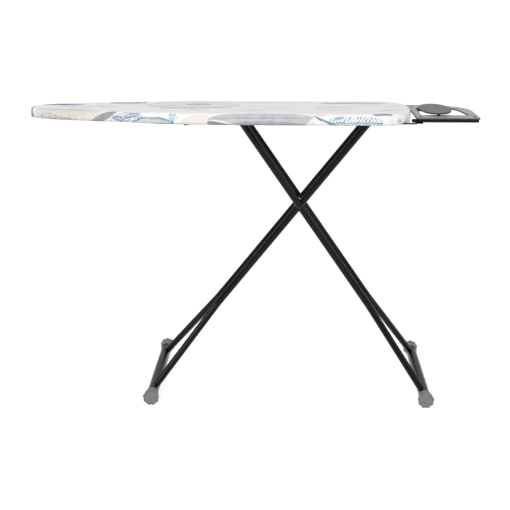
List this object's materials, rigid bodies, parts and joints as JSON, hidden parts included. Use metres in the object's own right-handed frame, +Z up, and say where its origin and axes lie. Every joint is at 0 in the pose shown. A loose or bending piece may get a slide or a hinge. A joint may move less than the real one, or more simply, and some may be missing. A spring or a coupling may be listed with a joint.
{
  "type": "ironing board",
  "caption": "Folding ironing board with a tapered padded top, scissor legs on two cross feet and a tray with an iron rest pad.",
  "frame": {"origin": "on the ground under the middle of the standing board, at the middle of its bounding box", "axes": "+X along the board from the nose to the iron rest, +Z up, +Y across the board away from the viewed side"},
  "size_m": [1.286, 0.476, 0.8365],
  "materials": {
    "cover_print": "printed cotton, matt",
    "elastic": "woven elastic",
    "foam": "felted foam underlay",
    "coated_steel": "powder coat, satin grey",
    "zinc_steel": "bright zinc plate",
    "black_paint": "gloss black powder coat",
    "tray_paint": "satin warm grey",
    "heat_pad": "heat-resistant silicone pad, matt",
    "black_plastic": "moulded black",
    "black_screws": "blackened steel",
    "grey_caps": "moulded grey polypropylene",
    "grey_plastic": "moulded dark grey",
    "nylon": "natural nylon"
  },
  "bodies": {
    "board": {"cover": "cover_print", "hem_elastic": "elastic", "foam_pad": "foam", "mesh_top": "coated_steel", "rim": "coated_steel", "cross_ribs": "coated_steel", "end_crossbar": "coated_steel", "slide_channel": "zinc_steel", "height_rack": "zinc_steel", "hinge_bracket_near": "coated_steel", "hinge_bracket_far": "coated_steel", "hinge_axle": "zinc_steel", "axle_clips": "zinc_steel", "frame_rivets": "zinc_steel", "rest_tube_near": "black_paint", "rest_tube_far": "black_paint", "rest_tube_plugs": "black_plastic", "rest_tray": "tray_paint", "rest_pad": "heat_pad", "pad_bridge": "black_plastic", "rest_screws": "black_screws", "rest_strap_near": "black_paint", "rest_strap_far": "black_paint", "strap_screws": "zinc_steel"},
    "inner_leg": {"inner_tube_near": "black_paint", "inner_tube_far": "black_paint", "inner_foot_tube": "black_paint", "inner_cap_near": "grey_caps", "inner_cap_far": "grey_caps", "hinge_spacer": "grey_plastic"},
    "outer_leg": {"outer_tube_near": "black_paint", "outer_tube_far": "black_paint", "outer_foot_tube": "black_paint", "outer_cap_near": "grey_caps", "outer_cap_far": "grey_caps", "cross_bolts": "black_screws", "cross_washers": "grey_plastic", "cross_nuts": "zinc_steel"},
    "carriage": {"slide_rod": "zinc_steel", "rod_spacers": "grey_plastic", "glide_bushes": "nylon", "rod_caps": "black_plastic", "lever_spring": "zinc_steel"},
    "lever": {"release_lever": "zinc_steel", "lever_grip": "black_plastic"}
  },
  "joints": [
    {"name": "leg_fold", "type": "hinge", "parent": "board", "child": "inner_leg", "pos_m": [0.351, 0, 0.8105], "axis": [0, 1, 0], "range_deg": [0, 48.7]},
    {"name": "scissor_pivot", "type": "hinge", "parent": "inner_leg", "child": "outer_leg", "pos_m": [0.14523, 0, 0.55487], "axis": [0, -1, 0], "range_deg": [0, 101.7]},
    {"name": "slide_pivot", "type": "hinge", "parent": "outer_leg", "child": "carriage", "pos_m": [-0.031, 0, 0.8105], "axis": [0, 1, 0], "range_deg": [0, 53]},
    {"name": "height_release", "type": "hinge", "parent": "carriage", "child": "lever", "pos_m": [-0.031, 0, 0.8105], "axis": [0, 1, 0], "range_deg": [0, 8], "stiffness_Nm_per_rad": 2, "springref_deg": -17.19}
  ],
  "couplings": [
    {"joint": "scissor_pivot", "follows": "leg_fold", "ratio": 2.0844},
    {"joint": "slide_pivot", "follows": "leg_fold", "ratio": 1.0844}
  ]
}
